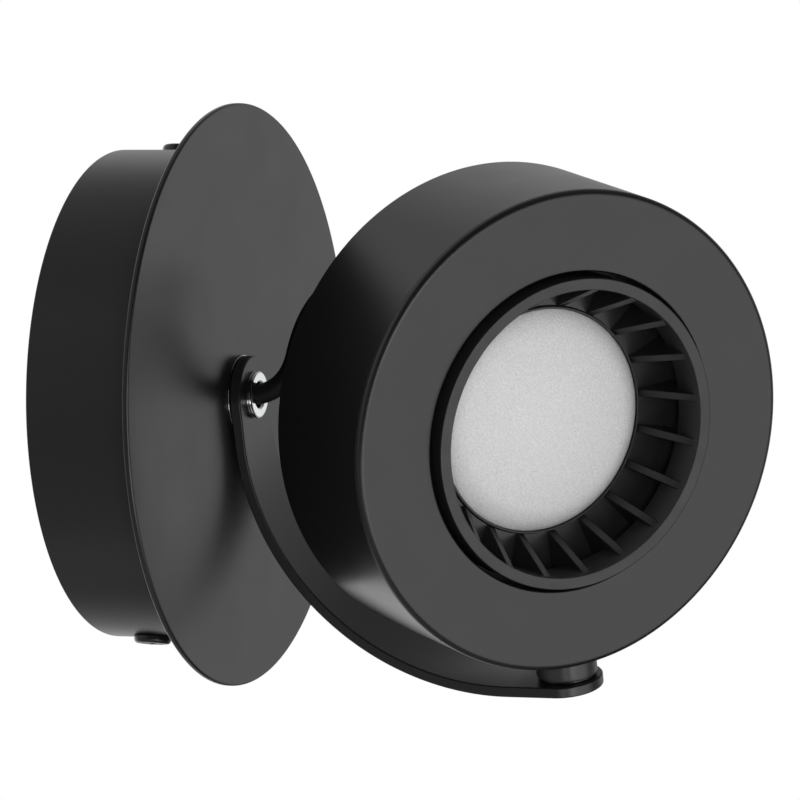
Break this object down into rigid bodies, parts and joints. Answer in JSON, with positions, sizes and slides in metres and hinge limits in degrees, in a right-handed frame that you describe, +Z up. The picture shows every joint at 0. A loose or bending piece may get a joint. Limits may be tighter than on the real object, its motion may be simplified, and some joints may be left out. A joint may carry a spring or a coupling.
{
  "type": "pivoting spotlight wall light",
  "caption": "Round wall canopy with a quarter-circle strip arm that swivels on a hollow bolt and carries a short drum spotlight head that turns on its own pivot.",
  "frame": {"origin": "centre of the canopy on the wall plane, on the axis of the hollow bolt", "axes": "+Z up the wall, -Y straight out from the wall along the hollow bolt's axis, X level along the wall"},
  "size_m": [0.1004, 0.1093, 0.1031],
  "materials": {
    "satin_black": "satin",
    "zinc": "satin",
    "black_screw": "satin",
    "brass": "satin",
    "white_plastic": "matte",
    "wire_sleeve": "matte",
    "bright_chrome": "polished",
    "black_plastic": "matte",
    "black_lead": "matte",
    "module_plastic": "matte",
    "frosted_lens": "matte",
    "white_board": "matte",
    "led_yellow": "satin",
    "aluminium": "satin",
    "black_rubber": "matte"
  },
  "bodies": {
    "canopy": {"canopy_cup": "satin_black", "front_disc": "satin_black", "wall_bracket": "zinc", "canopy_screws": "black_screw", "earth_washer": "zinc", "earth_screw": "brass", "led_driver": "white_plastic", "terminal_block": "white_plastic", "terminal_sleeves": "brass", "terminal_screws": "zinc", "driver_input_leads": "wire_sleeve", "earth_lead": "wire_sleeve", "hollow_bolt": "bright_chrome", "ring_washer": "bright_chrome", "spring_washer": "zinc", "lock_nut": "zinc", "canopy_cable_tie": "black_plastic", "lead_in_canopy": "black_lead"},
    "arm": {"arm_strip": "satin_black", "head_lead": "black_lead"},
    "head": {"drum_shell": "satin_black", "face_plate": "satin_black", "module_frame": "module_plastic", "lens": "frosted_lens", "lens_ring": "black_plastic", "led_board": "white_board", "led_chips": "led_yellow", "heat_sink": "aluminium", "module_screws": "zinc", "head_connector": "white_plastic", "rear_grommet": "black_rubber", "lead_in_head": "black_lead", "drum_cable_tie": "black_plastic", "pivot_washer": "black_plastic", "pivot_boss": "satin_black", "pivot_screw": "black_screw", "boss_washer": "zinc", "boss_nut": "zinc"}
  },
  "joints": [
    {"name": "arm_swivel", "type": "hinge", "parent": "canopy", "child": "arm", "pos_m": [0, -0.0233, 0], "axis": [0, -1, 0], "range_deg": [-170, 170]},
    {"name": "head_turn", "type": "hinge", "parent": "arm", "child": "head", "pos_m": [0, -0.0764, -0.0511], "axis": [0, 0, 1], "range_deg": [-51, 129], "deforming": ["head_lead"]}
  ]
}
